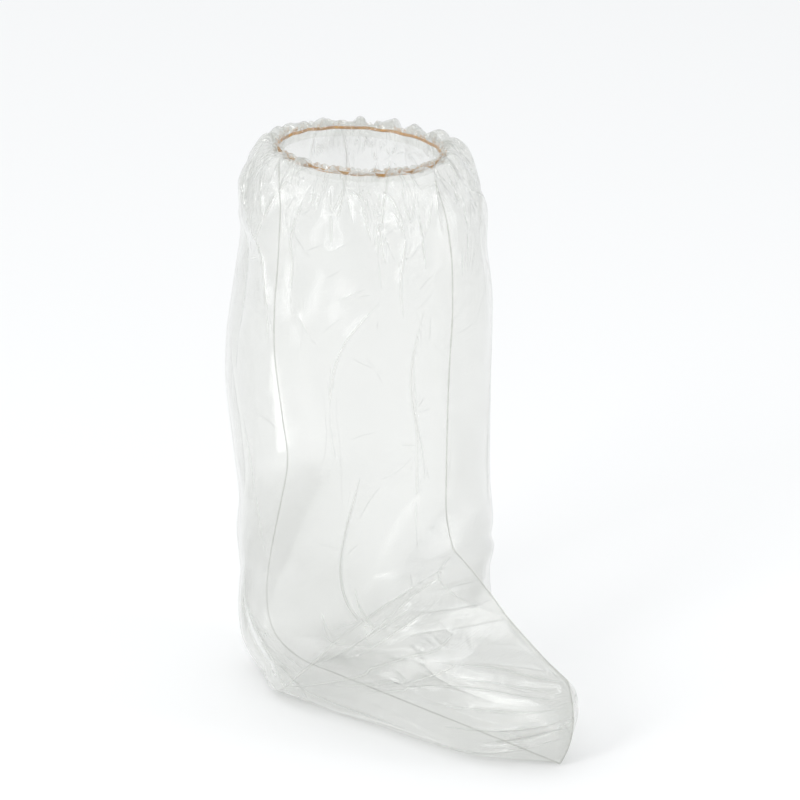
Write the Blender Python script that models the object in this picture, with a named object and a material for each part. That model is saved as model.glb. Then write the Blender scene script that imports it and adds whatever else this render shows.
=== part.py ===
"""Tall shoe cover of clear polythene film, in the form that it takes when it is worn.

Two film panels are welded together down the front and round the back and sole. The mouth is gathered
by a rubber thread in a hem. Metres, +Z up, toe towards -Y, origin at the centre of the mouth's elastic.
"""

import math

import bmesh
import bpy
import numpy as np

# Overall sizes
MOUTH_HEIGHT = 0.4065      # from the sole's underside to the elastic
MOUTH_RADIUS = 0.058       # to the middle of the elastic
MOUTH_TILT = math.radians(5.0)   # the mouth dips to the front
SHAFT_RADIUS = 0.0955
SHOULDER_DEPTH = 0.064     # height over which the film spreads from the mouth to the shaft
BEND_HEIGHT = 0.1325       # the front line's bend at the ankle, above the sole's underside
BEND_REACH = 0.097         # the same bend, forward of the shaft's axis
TOE_REACH = 0.211
TOE_HEIGHT = 0.0655
TOE_BOW = 0.009            # how far the toe line bulges forward between its two corners
SOLE_REACH = 0.2055        # the sole's pointed toe corner, forward of the axis
HEEL_REACH = 0.108
HEEL_HALF_WIDTH = 0.082
SOLE_HALF_WIDTH = 0.058

# Film, hem and welds
WALL = 0.001
GAP = 0.0003               # between neighbouring pieces
WELD_WIDTH = 0.001
WELD_DEPTH = 0.0024
WELD_PROUD = 0.0006        # how far a weld stands out of the film
ELASTIC_THICKNESS = 0.0018
HEM_REACH = 0.020          # length of film from the elastic to the panels' upper edge
FRILL_HEIGHT = 0.0042
TAIL_LENGTH = 0.006        # the folded-in edge below the elastic
HEM_BREAK = 0.55           # share of the hem's reach at which its ruching begins
CUFF_NECK = 0.7            # how far apart the hem's two walls stand above the elastic, as a share

# Gathers
PLEATS = 18
PLEAT_DEPTH = 0.0030
PLEAT_RUN = 0.052          # length of film over which the narrow pleats die out
FOLD_DEPTH = 0.0026
FOLD_RUN = 0.120           # the same for the broad folds, one to every three pleats
PLEATS_PER_FOLD = 3
RUCHE_OUT = 0.0026         # the tunnel's puffs, outside and inside of the elastic
RUCHE_IN = 0.0014
FRILL_WAVE = 0.0012

# Mesh
COLUMNS_PER_PLEAT = 6
PLEATED_ROWS = 5
PLAIN_ROWS = 23
RING_STEPS = 36
RING_SIDES = 6
SHARP_ANGLE = math.radians(50.0)
NORMAL_STEP = 0.001        # length of film to each side of a row, to find which way it faces
SAMPLES = 160              # steps along half a section, before it is divided evenly
STEPS_PER_STATION = 40     # for measuring the length of film
SWELL_POWER = 0.55         # how much a full swell squares a section

FILM_COLOUR = (0.93, 0.94, 0.92)
WELD_COLOUR = (0.88, 0.89, 0.87)
RUBBER_COLOUR = (0.72, 0.50, 0.26)

EDGE = WELD_WIDTH / 2 + GAP      # each panel's distance from the plane of the welds
FLOOR = WALL / 2 + WELD_PROUD    # the film's middle above the sole's underside
HALF_COLUMNS = PLEATS * COLUMNS_PER_PLEAT // 2
NEAR, FAR = -1, 1                # the wearer's right panel and left panel

# From the mouth to the shaft: spread as a share of the way from the mouth's radius to the shaft's,
# rise as a share of the shoulder's depth above the elastic, shift forward as a share of the shaft's radius.
SHOULDER = (
    # spread, rise, shift
    (0.00, 0.00, 0.000),
    (0.23, 0.05, 0.000),
    (0.46, -0.06, 0.005),
    (0.66, -0.26, 0.018),
    (0.78, -0.47, 0.035),
    (0.83, -0.73, 0.055),
)

# Shaft rings: height as a share of the way from the bend to the foot of the shoulder, the others of
# the shaft's radius.
SHAFT = (
    # height, front, back, side
    (1.00, 1.010, 0.870, 0.915),
    (0.84, 1.000, 0.920, 0.980),
    (0.68, 0.970, 0.970, 1.020),
    (0.49, 0.950, 0.975, 1.030),
    (0.27, 0.940, 0.890, 1.020),
    (0.11, 0.945, 0.830, 1.020),
)

# Ankle sections, fanning round the bend: slide is the share of the instep's line from the bend to the
# toe; back and up place the lower end at the heel, as shares of the heel's reach and bend's height.
# Front and lower say how the section's two halves swell: 0 is an ellipse, 1 is squared, -1 peaked.
ANKLE = (
    # slide, back, up, side (share of the heel's half width), front, lower
    (0.00, 0.82, 0.880, 1.16, 0.05, 0.00),
    (0.04, 0.92, 0.590, 1.05, 0.30, -0.15),
    (0.08, 0.97, 0.310, 0.93, 0.40, 0.00),
    (0.12, 0.90, 0.095, 0.86, 0.20, 0.20),
    (0.17, 0.66, 0.000, 0.86, -0.30, 0.60),
)

# Foot sections from the sole under the ankle to the toe: forward is the share of the sole's reach.
FOOT = (
    # slide, forward, side (share of the sole's half width), front, lower, bow
    (0.24, -0.14, 1.24, -1.00, 1.10, 0.00),
    (0.33, 0.12, 1.18, -1.90, 1.15, 0.00),
    (0.46, 0.35, 1.06, -2.30, 1.15, 0.00),
    (0.61, 0.57, 0.95, -2.30, 1.15, 0.05),
    (0.78, 0.77, 0.73, -1.90, 1.15, 0.25),
    (0.92, 0.91, 0.38, -1.00, 0.95, 0.60),
    (1.00, 1.00, 0.00, 0.00, 0.50, 1.00),
)

# The instep's line, from the bend to the toe: both are shares of the way between these two points.
INSTEP = (
    # along, down
    (0.00, 0.00),
    (0.17, 0.17),
    (0.353, 0.38),
    (0.54, 0.62),
    (0.72, 0.83),
    (0.88, 0.95),
    (1.00, 1.00),
)

# Dents and folds: station runs from 0 at the elastic to 1 at the toe, turn from 0 at the front line
# to 1 at the back line; height is a share of the crease height and width of the crease width.
CREASE_HEIGHT = 0.0060
CREASE_WIDTH = 0.012
CREASE_POINTS = 9          # points along a crease that it is pressed in at
CREASE_TAPER = 0.15        # how far a crease has died out at its ends: 0 is wholly
WELD_CALM = 0.5            # power by which creases die out towards the welds
CREASES = (
    # side, station, turn, end station, end turn, height, width
    (NEAR, 0.58, 0.86, 0.66, 0.30, 1.00, 1.00),
    (NEAR, 0.62, 0.86, 0.76, 0.42, -0.90, 0.90),
    (NEAR, 0.66, 0.84, 0.83, 0.46, 0.90, 1.00),
    (NEAR, 0.78, 0.64, 0.97, 0.56, -0.60, 0.90),
    (NEAR, 0.74, 0.26, 0.95, 0.40, -0.60, 0.90),
    (NEAR, 0.46, 0.80, 0.62, 0.88, -1.10, 1.20),
    (NEAR, 0.20, 0.55, 0.44, 0.62, -0.60, 1.80),
    (NEAR, 0.24, 0.84, 0.40, 0.80, -0.80, 1.60),
    (FAR, 0.58, 0.84, 0.68, 0.34, 0.90, 1.00),
    (FAR, 0.64, 0.80, 0.84, 0.44, -0.80, 1.00),
    (FAR, 0.22, 0.40, 0.42, 0.46, -0.60, 1.80),
    (FAR, 0.46, 0.76, 0.60, 0.84, -0.90, 1.20),
)


def through(rows, t):
    """A smooth curve through the rows: t counts rows, from 0 to len(rows) - 1."""
    rows = np.asarray(rows, float)
    i = min(int(t), len(rows) - 2)
    f = t - i
    a = rows[max(i - 1, 0)]
    b = rows[i]
    c = rows[i + 1]
    d = rows[min(i + 2, len(rows) - 1)]
    return b + 0.5 * f * (c - a + f * (2 * a - 5 * b + 4 * c - d + f * (3 * (b - c) + d - a)))


def fade(x):
    """1 at 0 and 0 from 1 on, smooth at both ends."""
    x = min(max(x, 0.0), 1.0)
    return 1 - x * x * (3 - 2 * x)


def instep(slide):
    """Forward and up of the front line between the bend and the toe."""
    along, down = through(INSTEP, slide * (len(INSTEP) - 1))
    forward = BEND_REACH + along * (TOE_REACH - BEND_REACH)
    up = BEND_HEIGHT - down * (BEND_HEIGHT - TOE_HEIGHT)
    return forward, up


def stations():
    """Every section as front forward, front up, back forward, back up, side, front, lower, bow."""
    rows = []
    for spread, rise, shift in SHOULDER:
        radius = MOUTH_RADIUS + spread * (SHAFT_RADIUS - MOUTH_RADIUS)
        up = MOUTH_HEIGHT + rise * SHOULDER_DEPTH
        move = shift * SHAFT_RADIUS
        rows.append((move + radius, up, move - radius, up, radius, 0, 0, 0))
    foot_of_shoulder = MOUTH_HEIGHT - SHOULDER_DEPTH
    for height, front, back, side in SHAFT:
        up = BEND_HEIGHT + height * (foot_of_shoulder - BEND_HEIGHT)
        rows.append((front * SHAFT_RADIUS, up, -back * SHAFT_RADIUS, up, side * SHAFT_RADIUS, 0, 0, 0))
    for slide, back, up, side, front, lower in ANKLE:
        low = FLOOR + up * (BEND_HEIGHT - FLOOR)
        rows.append((*instep(slide), -back * HEEL_REACH, low, side * HEEL_HALF_WIDTH, front, lower, 0))
    for slide, forward, side, front, lower, bow in FOOT:
        wide = side * SOLE_HALF_WIDTH
        rows.append((*instep(slide), forward * SOLE_REACH, FLOOR, wide, front, lower, bow * TOE_BOW))
    return np.array(rows)


STATIONS = stations()
LAST = len(STATIONS) - 1


def half_section(t):
    """The near half of one section as SAMPLES + 1 points (out, forward, up), front line first."""
    front_y, front_z, back_y, back_z, side, swell, lower_swell, bow = through(STATIONS, t)
    angle = np.linspace(0, math.pi, SAMPLES + 1)
    cos = np.cos(angle)
    sin = np.clip(np.sin(angle), 0, 1)
    power = 1 - SWELL_POWER * np.where(cos < 0, lower_swell, swell)
    reach = np.sign(cos) * np.abs(cos) ** power
    out = max(side, 0.0) * sin ** power
    front = np.array((front_y, front_z))
    back = np.array((back_y, back_z))
    axis = front - back
    normal = np.array((axis[1], -axis[0])) / np.linalg.norm(axis)
    plane = (front + back) / 2 + 0.5 * reach[:, None] * axis + bow * (1 - reach[:, None] ** 2) * normal
    return np.column_stack((EDGE + out, plane))


def spaced(points, count):
    """The polyline resampled to count + 1 points at equal steps along it."""
    steps = np.linalg.norm(np.diff(points, axis=0), axis=1)
    length = np.concatenate(((0,), np.cumsum(steps)))
    wanted = np.linspace(0, length[-1], count + 1)
    return np.column_stack([np.interp(wanted, length, points[:, k]) for k in range(points.shape[1])])


def film_rows():
    """Length of film from the elastic to each t: the mean of the front, side and back lines."""
    fine = np.linspace(0, LAST, STEPS_PER_STATION * LAST + 1)
    lines = np.array([half_section(t)[::SAMPLES // 2] for t in fine])
    steps = np.linalg.norm(np.diff(lines, axis=0), axis=2).mean(axis=1)
    return np.concatenate(((0,), np.cumsum(steps))), fine


FILM_LENGTH, FILM_T = film_rows()


def station_at(length):
    """The section at this length of film from the elastic."""
    return float(np.interp(length, FILM_LENGTH, FILM_T))


def normals(grid):
    """Unit normals of a grid of points, turned away from the inside."""
    along = np.gradient(grid, axis=0)
    across = np.gradient(grid, axis=1)
    normal = np.cross(across, along)
    size = np.linalg.norm(normal, axis=2, keepdims=True)
    return normal / np.maximum(size, 1e-12)


def mouth_tilt(points, lengths):
    """Turns the rows of points about the mouth's middle by the mouth's tilt, less the further from it."""
    turned = points.copy()
    for row, length in enumerate(lengths):
        angle = MOUTH_TILT * fade((length - HEM_REACH) / FOLD_RUN)
        forward = points[row, :, 1]
        up = points[row, :, 2] - MOUTH_HEIGHT
        turned[row, :, 1] = forward * math.cos(angle) + up * math.sin(angle)
        turned[row, :, 2] = MOUTH_HEIGHT + up * math.cos(angle) - forward * math.sin(angle)
    return turned


def gathers(length, columns):
    """How far the gathers push each column of a half ring out at this length from the elastic."""
    turn = np.linspace(0, math.pi, columns + 1)
    narrow = PLEAT_DEPTH * fade(length / PLEAT_RUN) * np.cos(PLEATS * turn)
    broad = FOLD_DEPTH * fade(length / FOLD_RUN) * np.cos(PLEATS / PLEATS_PER_FOLD * turn)
    return narrow + broad * min(length / HEM_REACH, 1.0)


def film_grid(lengths, columns):
    """The near half of the film's middle surface, one row of points for each length from the elastic."""
    rows = []
    for length in lengths:
        beside = [min(max(length + step, 0), FILM_LENGTH[-1]) for step in (-NORMAL_STEP, 0, NORMAL_STEP)]
        strip = np.array([spaced(half_section(station_at(at)), columns) for at in beside])
        push = gathers(length, columns)[:, None] * normals(strip)[1]
        push[[0, -1], 0] = 0
        rows.append(strip[1] + push)
    return mouth_tilt(np.array(rows), lengths)


def creased(grid, lengths, side):
    """The grid with this side's dents and folds pressed in, dying out towards the welds."""
    total = FILM_LENGTH[-1]
    rows, columns = grid.shape[:2]
    turns = np.linspace(0, 1, columns)
    push = np.zeros((rows, columns))
    for where, start, turn, end, end_turn, height, width in CREASES:
        if where != side:
            continue
        for share in np.linspace(0, 1, CREASE_POINTS):
            row = np.interp((start + share * (end - start)) * total, lengths, np.arange(rows))
            column = (turn + share * (end_turn - turn)) * (columns - 1)
            low = int(row)
            high = min(low + 1, rows - 1)
            across = min(round(column), columns - 1)
            point = grid[low, across] * (1 - row + low) + grid[high, across] * (row - low)
            distance = np.linalg.norm(grid - point, axis=2) / (width * CREASE_WIDTH)
            taper = math.sin(math.pi * (CREASE_TAPER + (1 - 2 * CREASE_TAPER) * share))
            bump = height * CREASE_HEIGHT * taper * np.exp(-distance ** 2)
            push = np.where(np.abs(bump) > np.abs(push), bump, push)
    calm = np.sin(np.pi * turns) ** WELD_CALM
    ends = np.array([1 - fade((total - length) / HEM_REACH) for length in lengths])
    return grid + (push * calm * ends[:, None])[:, :, None] * normals(grid)


def placed(points, side):
    """Points (out, forward, up) as world points on one side: -1 the wearer's right, 1 the left."""
    out, forward, up = points[..., 0], points[..., 1], points[..., 2]
    return np.stack((side * out, -forward, up - MOUTH_HEIGHT), axis=-1)


def directed(ways, side):
    """Directions (out, forward, up) as world directions on one side."""
    return np.stack((side * ways[..., 0], -ways[..., 1], ways[..., 2]), axis=-1)


def outward(line):
    """Unit normals, in the plane of the welds, of a line of (forward, up) points that runs front to back."""
    tangent = np.gradient(line, axis=0)
    normal = np.column_stack((-tangent[:, 1], tangent[:, 0]))
    return normal / np.linalg.norm(normal, axis=1, keepdims=True)


def weld_normals(grid):
    """The grid's normals, held in the plane of the welds along the front line, the toe and the back line."""
    turned = normals(grid)
    rows, columns = grid.shape[:2]
    loop = np.vstack((grid[:, 0], grid[-1, 1:-1], grid[::-1, -1]))
    facing = np.column_stack((np.zeros(len(loop)), outward(loop[:, 1:])))
    turned[:, 0] = facing[:rows]
    turned[-1, 1:-1] = facing[rows:rows + columns - 2]
    turned[::-1, -1] = facing[rows + columns - 2:]
    return turned


def material(name, color, roughness, alpha=1.0):
    """A plain surface of one colour."""
    made = bpy.data.materials.new(name)
    made.use_nodes = True
    shader = made.node_tree.nodes["Principled BSDF"]
    shader.inputs["Base Color"].default_value = (*color, 1)
    shader.inputs["Roughness"].default_value = roughness
    shader.inputs["Metallic"].default_value = 0
    shader.inputs["Alpha"].default_value = alpha
    return made


def linked(name, bm, finish):
    """A bmesh made into an object of the scene."""
    mesh = bpy.data.meshes.new(name)
    bm.to_mesh(mesh)
    bm.free()
    mesh.materials.append(finish)
    mesh.shade_smooth()
    mesh.set_sharp_from_angle(angle=SHARP_ANGLE)
    piece = bpy.data.objects.new(name, mesh)
    bpy.context.scene.collection.objects.link(piece)
    return piece


def join_rows(bm, upper, lower):
    """Faces between two rows of vertices, where the upper may have twice the columns of the lower."""
    step = (len(upper) - 1) // (len(lower) - 1)
    for i in range(len(lower) - 1):
        top = upper[step * i:step * i + step + 1]
        bm.faces.new((lower[i], lower[i + 1], top[-1]))
        for k in range(step, 0, -1):
            bm.faces.new((lower[i], top[k], top[k - 1]))


def wall(name, rows, turned, closed, finish):
    """A film wall: rows of points and of unit normals, half the thickness to each side, rims closed."""
    bm = bmesh.new()
    skins = []
    for half in (WALL / 2, -WALL / 2):
        skin = [[bm.verts.new(p + half * n) for p, n in zip(*pair)] for pair in zip(rows, turned)]
        skins.append([[*row, row[0]] for row in skin] if closed else skin)
    outer, inner = skins
    for skin in skins:
        for upper, lower in zip(skin, skin[1:]):
            join_rows(bm, upper, lower)
    join_rows(bm, inner[0], outer[0])
    join_rows(bm, outer[-1], inner[-1])
    if not closed:
        join_rows(bm, [row[0] for row in outer], [row[0] for row in inner])
        join_rows(bm, [row[-1] for row in inner], [row[-1] for row in outer])
    bmesh.ops.recalc_face_normals(bm, faces=bm.faces)
    if bm.calc_volume(signed=True) < 0:
        bmesh.ops.reverse_faces(bm, faces=bm.faces)
    return linked(name, bm, finish)


def panel_lengths():
    """Length of film from the elastic to each row of the panels, pleated rows first."""
    pleated = np.linspace(HEM_REACH + GAP, PLEAT_RUN, PLEATED_ROWS + 1)
    plain = np.linspace(PLEAT_RUN, FILM_LENGTH[-1], PLAIN_ROWS + 1)
    return np.concatenate((pleated, plain[1:]))


def panel(name, side, finish):
    """One film panel from the hem's edge to the toe, pleated rows first, then the plain ones."""
    lengths = panel_lengths()
    grid = creased(film_grid(lengths, HALF_COLUMNS), lengths, side)
    turned = weld_normals(grid)
    kept = [slice(None) if row <= PLEATED_ROWS else slice(None, None, 2) for row in range(len(grid))]
    rows = [placed(points[some], side) for points, some in zip(grid, kept)]
    ways = [directed(ways[some], side) for ways, some in zip(turned, kept)]
    return wall(name, rows, ways, False, finish)


def ribbon(name, line, finish):
    """A weld: a flat strip in the plane of the welds along a line of (forward, up) points."""
    proud = WALL / 2 + WELD_PROUD
    facing = outward(line)
    outer = line + proud * facing
    inner = line + (proud - WELD_DEPTH) * facing
    bm = bmesh.new()
    strips = [
        [bm.verts.new((0, -forward, up - MOUTH_HEIGHT)) for forward, up in points]
        for points in (outer, inner)
    ]
    join_rows(bm, strips[0], strips[1])
    piece = linked(name, bm, finish)
    solid = piece.modifiers.new("width", "SOLIDIFY")
    solid.thickness = WELD_WIDTH
    solid.offset = 0
    return piece


def weld_lines():
    """The front line with the toe below it, and the sole with the back line, as (forward, up) points."""
    edge = film_grid(panel_lengths(), HALF_COLUMNS)[:, :, 1:]
    toe = edge[-1, ::2]
    corner = toe[-1]
    stop = corner + (toe[-2] - corner) * (WELD_DEPTH + GAP) / np.linalg.norm(toe[-2] - corner)
    front = np.vstack((edge[:-1, 0], toe[:-1], stop))
    return front, edge[::-1, -1]


def hem(finish):
    """The folded hem: up from the panels' edge to the elastic, over the frill and down inside."""
    half = HALF_COLUMNS
    turn = np.arange(2 * half) * math.pi / half
    lengths = np.array((HEM_REACH, HEM_REACH * HEM_BREAK))
    skirt = film_grid(lengths, half)
    skirt = np.array([np.vstack((row, (row[1:-1] * (-1, 1, 1))[::-1])) for row in skirt])
    skirt[:, 0, 0] = 0
    skirt[:, half, 0] = 0
    puff = (1 + np.cos(PLEATS * turn)) / 2
    beside = ELASTIC_THICKNESS / 2 + GAP + WALL / 2
    wave = FRILL_HEIGHT + FRILL_WAVE * np.cos(PLEATS * turn)
    rings = (
        (MOUTH_RADIUS + beside + RUCHE_OUT * puff, 0 * turn),
        (MOUTH_RADIUS + beside * CUFF_NECK + RUCHE_OUT * puff, wave),
        (MOUTH_RADIUS - beside * CUFF_NECK - RUCHE_IN * puff, wave),
        (MOUTH_RADIUS - beside - RUCHE_IN * puff, 0 * turn),
        (MOUTH_RADIUS - beside - RUCHE_IN * puff, 0 * turn - TAIL_LENGTH),
    )
    cuffs = [np.column_stack((r * np.sin(turn), r * np.cos(turn), MOUTH_HEIGHT + z)) for r, z in rings]
    cuffs = mouth_tilt(np.array(cuffs), np.zeros(len(cuffs)))
    grid = np.array((*skirt, *cuffs))[::-1]
    around = np.concatenate((grid[:, -1:], grid, grid[:, :1]), axis=1)
    ways = normals(around)[:, 1:-1]
    return wall("hem", placed(grid, NEAR), directed(ways, NEAR), True, finish)


def elastic_band(finish):
    """The rubber thread, a plain ring in the mouth's plane."""
    bpy.ops.mesh.primitive_torus_add(
        major_radius=MOUTH_RADIUS,
        minor_radius=ELASTIC_THICKNESS / 2,
        major_segments=RING_STEPS,
        minor_segments=RING_SIDES,
        rotation=(MOUTH_TILT, 0, 0),
    )
    ring = bpy.context.object
    ring.name = "elastic_band"
    ring.data.materials.append(finish)
    ring.data.shade_smooth()
    return ring


for item in list(bpy.data.objects):
    bpy.data.objects.remove(item, do_unlink=True)

panel("right_panel", NEAR, material("right_film", FILM_COLOUR, 0.18, 0.3))
panel("left_panel", FAR, material("left_film", FILM_COLOUR, 0.18, 0.3))
hem(material("hem_film", FILM_COLOUR, 0.20, 0.4))
elastic_band(material("elastic_rubber", RUBBER_COLOUR, 0.55))
front_line, back_line = weld_lines()
ribbon("front_weld", front_line, material("front_weld_film", WELD_COLOUR, 0.25, 0.6))
ribbon("back_weld", back_line, material("back_weld_film", WELD_COLOUR, 0.25, 0.6))
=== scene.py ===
import math

import bpy
import numpy as np
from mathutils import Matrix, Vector, geometry


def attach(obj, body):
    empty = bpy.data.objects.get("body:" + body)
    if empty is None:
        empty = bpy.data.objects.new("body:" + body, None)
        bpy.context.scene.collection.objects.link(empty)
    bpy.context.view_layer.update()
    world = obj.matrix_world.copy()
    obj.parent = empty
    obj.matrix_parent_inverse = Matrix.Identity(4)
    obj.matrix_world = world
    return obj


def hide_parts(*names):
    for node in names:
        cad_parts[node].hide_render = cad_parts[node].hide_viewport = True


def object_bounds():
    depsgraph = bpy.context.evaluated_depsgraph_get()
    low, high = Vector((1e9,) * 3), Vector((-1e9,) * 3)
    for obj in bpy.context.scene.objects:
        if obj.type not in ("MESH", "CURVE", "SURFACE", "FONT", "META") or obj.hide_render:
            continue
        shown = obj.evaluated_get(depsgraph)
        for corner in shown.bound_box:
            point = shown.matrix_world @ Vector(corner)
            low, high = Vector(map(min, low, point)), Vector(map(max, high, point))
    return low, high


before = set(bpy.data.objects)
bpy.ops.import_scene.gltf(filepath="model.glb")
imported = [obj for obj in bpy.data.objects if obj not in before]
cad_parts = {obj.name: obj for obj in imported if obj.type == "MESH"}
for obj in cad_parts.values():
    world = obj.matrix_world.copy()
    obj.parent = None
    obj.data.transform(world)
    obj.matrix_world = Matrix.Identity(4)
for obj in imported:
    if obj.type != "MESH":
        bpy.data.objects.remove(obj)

cad_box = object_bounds()

# The studio: a pale floor that runs out of view on every side, under one wide softbox overhead, with a
# tall softbox to the left of the cover and a smaller one to the right for the glints in the film's folds.
FLOOR_GAP = 0.0004         # keeps the film under the sole clear of the floor
FLOOR_HEIGHT = cad_box[0].z - FLOOR_GAP
FLOOR_RADIUS = 9
bpy.ops.object.select_all(action="DESELECT")
bpy.ops.mesh.primitive_circle_add(
    vertices=96, radius=FLOOR_RADIUS, fill_type="NGON", location=(0, 0, FLOOR_HEIGHT)
)
floor = bpy.context.object
floor.name = "studio_floor"
paper = bpy.data.materials.new("pale_floor")
paper.use_nodes = True
matt = paper.node_tree.nodes["Principled BSDF"]
matt.inputs["Base Color"].default_value = (0.93, 0.93, 0.927, 1)
matt.inputs["Roughness"].default_value = 0.9
matt.inputs["Specular IOR Level"].default_value = 0.1
floor.data.materials.append(paper)

room = bpy.data.worlds.new("studio")
bpy.context.scene.world = room
room.use_nodes = True
room.node_tree.nodes["Background"].inputs["Color"].default_value = (0.97, 0.985, 1.0, 1)
room.node_tree.nodes["Background"].inputs["Strength"].default_value = 0.84

SOFTBOXES = (
    # name, width, height, place, aimed at, watts
    ("left_softbox", 0.7, 1.4, (-2.4, -0.5, 0.95), (0.0, 0.0, -0.15), 20),
    ("right_softbox", 0.35, 1.3, (1.3, -2.2, 0.6), (0.0, 0.0, -0.15), 7),
    ("overhead_softbox", 10.0, 10.0, (0.0, 2.0, 5.5), (0.0, 1.8, -0.4), 110),
)
for name, width, height, place, aim, watts in SOFTBOXES:
    lamp = bpy.data.lights.new(name, "AREA")
    lamp.shape = "RECTANGLE"
    lamp.size = width
    lamp.size_y = height
    lamp.energy = watts
    holder = bpy.data.objects.new(name, lamp)
    holder.location = place
    holder.rotation_mode = "QUATERNION"
    holder.rotation_quaternion = (Vector(aim) - Vector(place)).to_track_quat("-Z", "Y")
    bpy.context.scene.collection.objects.link(holder)

bpy.context.scene.view_settings.view_transform = "Standard"

# The camera stands 2.3 m off, in front of the toe and to its right, and looks down a little.
CAMERA_BEARING = math.radians(-43.0)
CAMERA_AWAY = 2.3
CAMERA_UP = 0.5235
AIM = Vector((0, 0, -0.18))
eye = Vector((CAMERA_AWAY * math.sin(CAMERA_BEARING), -CAMERA_AWAY * math.cos(CAMERA_BEARING), CAMERA_UP))
lens = bpy.data.cameras.new("camera")
lens.lens = 149.36
lens.sensor_width = 36
lens.shift_x = 0.05
lens.shift_y = -0.0081
camera = bpy.data.objects.new("camera", lens)
camera.location = eye
camera.rotation_mode = "QUATERNION"
camera.rotation_quaternion = (AIM - eye).to_track_quat("-Z", "Y")
bpy.context.scene.collection.objects.link(camera)
bpy.context.scene.camera = camera


# The two film panels: cut from clear, slightly milky polythene film with a fine embossed grain, and welded
# edge to edge down the front, over the instep, round the toe, under the sole and up the back. When it is
# worn the bag stands off as a loose tube, with its spare film in folds at the ankle and on the foot.
MOUTH_HEIGHT = 0.4065      # the elastic above the sole's underside
MOUTH_RADIUS = 0.058
MOUTH_TILT = math.radians(5.0)
SHAFT_RADIUS = 0.0955
SHOULDER_DEPTH = 0.064
BEND_HEIGHT = 0.1325
BEND_REACH = 0.097
TOE_REACH = 0.211
TOE_HEIGHT = 0.0655
TOE_BOW = 0.009
SOLE_REACH = 0.2055
HEEL_REACH = 0.108
HEEL_HALF_WIDTH = 0.082
SOLE_HALF_WIDTH = 0.058
SOLE_FILM = 0.0011         # the film's middle above the sole's underside
WELD_EDGE = 0.0003         # the panels' edges, out from the plane of the welds
HEM_REACH = 0.020          # film from the elastic to the panels' upper edge
TILT_RUN = 0.120           # film over which the mouth's tilt dies out
SWELL_POWER = 0.55         # how much a full swell squares a section
SECTION_POINTS = 321       # points round half a section, before they are spaced evenly
STEPS_PER_SECTION = 40     # for measuring the film along the bag
WAY_STEP = 0.0015          # film to each side of a row, to find the way out of the bag
PANEL_COLUMNS = 240
PANEL_ROWS = 380
NEAR, FAR = -1, 1          # the wearer's right panel and left panel

SHOULDER = (
    # spread, rise, shift
    (0.00, 0.00, 0.000),
    (0.23, 0.05, 0.000),
    (0.46, -0.06, 0.005),
    (0.66, -0.26, 0.018),
    (0.78, -0.47, 0.035),
    (0.83, -0.73, 0.055),
)
SHAFT = (
    # height, front, back, side
    (1.00, 1.010, 0.870, 0.915),
    (0.84, 1.000, 0.920, 0.980),
    (0.68, 0.970, 0.970, 1.020),
    (0.49, 0.950, 0.975, 1.030),
    (0.27, 0.940, 0.890, 1.020),
    (0.11, 0.945, 0.830, 1.020),
)
ANKLE = (
    # slide, back, up, side, front swell, lower swell
    (0.00, 0.82, 0.880, 1.16, 0.05, 0.00),
    (0.04, 0.92, 0.590, 1.05, 0.12, -0.15),
    (0.08, 0.97, 0.310, 0.93, 0.40, 0.00),
    (0.12, 0.89, 0.105, 0.86, 0.20, 0.20),
    (0.17, 0.63, 0.008, 0.85, -0.30, 0.48),
)
FOOT = (
    # slide, forward, side, front swell, lower swell, bow
    (0.24, -0.14, 1.24, -1.00, 1.10, 0.00),
    (0.33, 0.12, 1.18, -1.90, 1.15, 0.00),
    (0.46, 0.35, 1.06, -2.30, 1.15, 0.00),
    (0.61, 0.57, 0.95, -2.30, 1.15, 0.05),
    (0.78, 0.77, 0.73, -1.90, 1.15, 0.25),
    (0.92, 0.91, 0.38, -1.00, 0.95, 0.60),
    (1.00, 1.00, 0.00, 0.00, 0.50, 1.00),
)
INSTEP = ((0.00, 0.00), (0.17, 0.17), (0.353, 0.38), (0.54, 0.61), (0.72, 0.775), (0.88, 0.92), (1.00, 1.00))


def through(rows, t):
    """A smooth curve through the rows: t counts rows, from 0 on."""
    rows = np.asarray(rows, float)
    i = min(int(t), len(rows) - 2)
    f = t - i
    a, b, c, d = rows[max(i - 1, 0)], rows[i], rows[i + 1], rows[min(i + 2, len(rows) - 1)]
    return b + 0.5 * f * (c - a + f * (2 * a - 5 * b + 4 * c - d + f * (3 * (b - c) + d - a)))


def instep(slide):
    """Forward and up of the front line between the bend at the ankle and the toe."""
    along, down = through(INSTEP, slide * (len(INSTEP) - 1))
    return BEND_REACH + along * (TOE_REACH - BEND_REACH), BEND_HEIGHT - down * (BEND_HEIGHT - TOE_HEIGHT)


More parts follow.
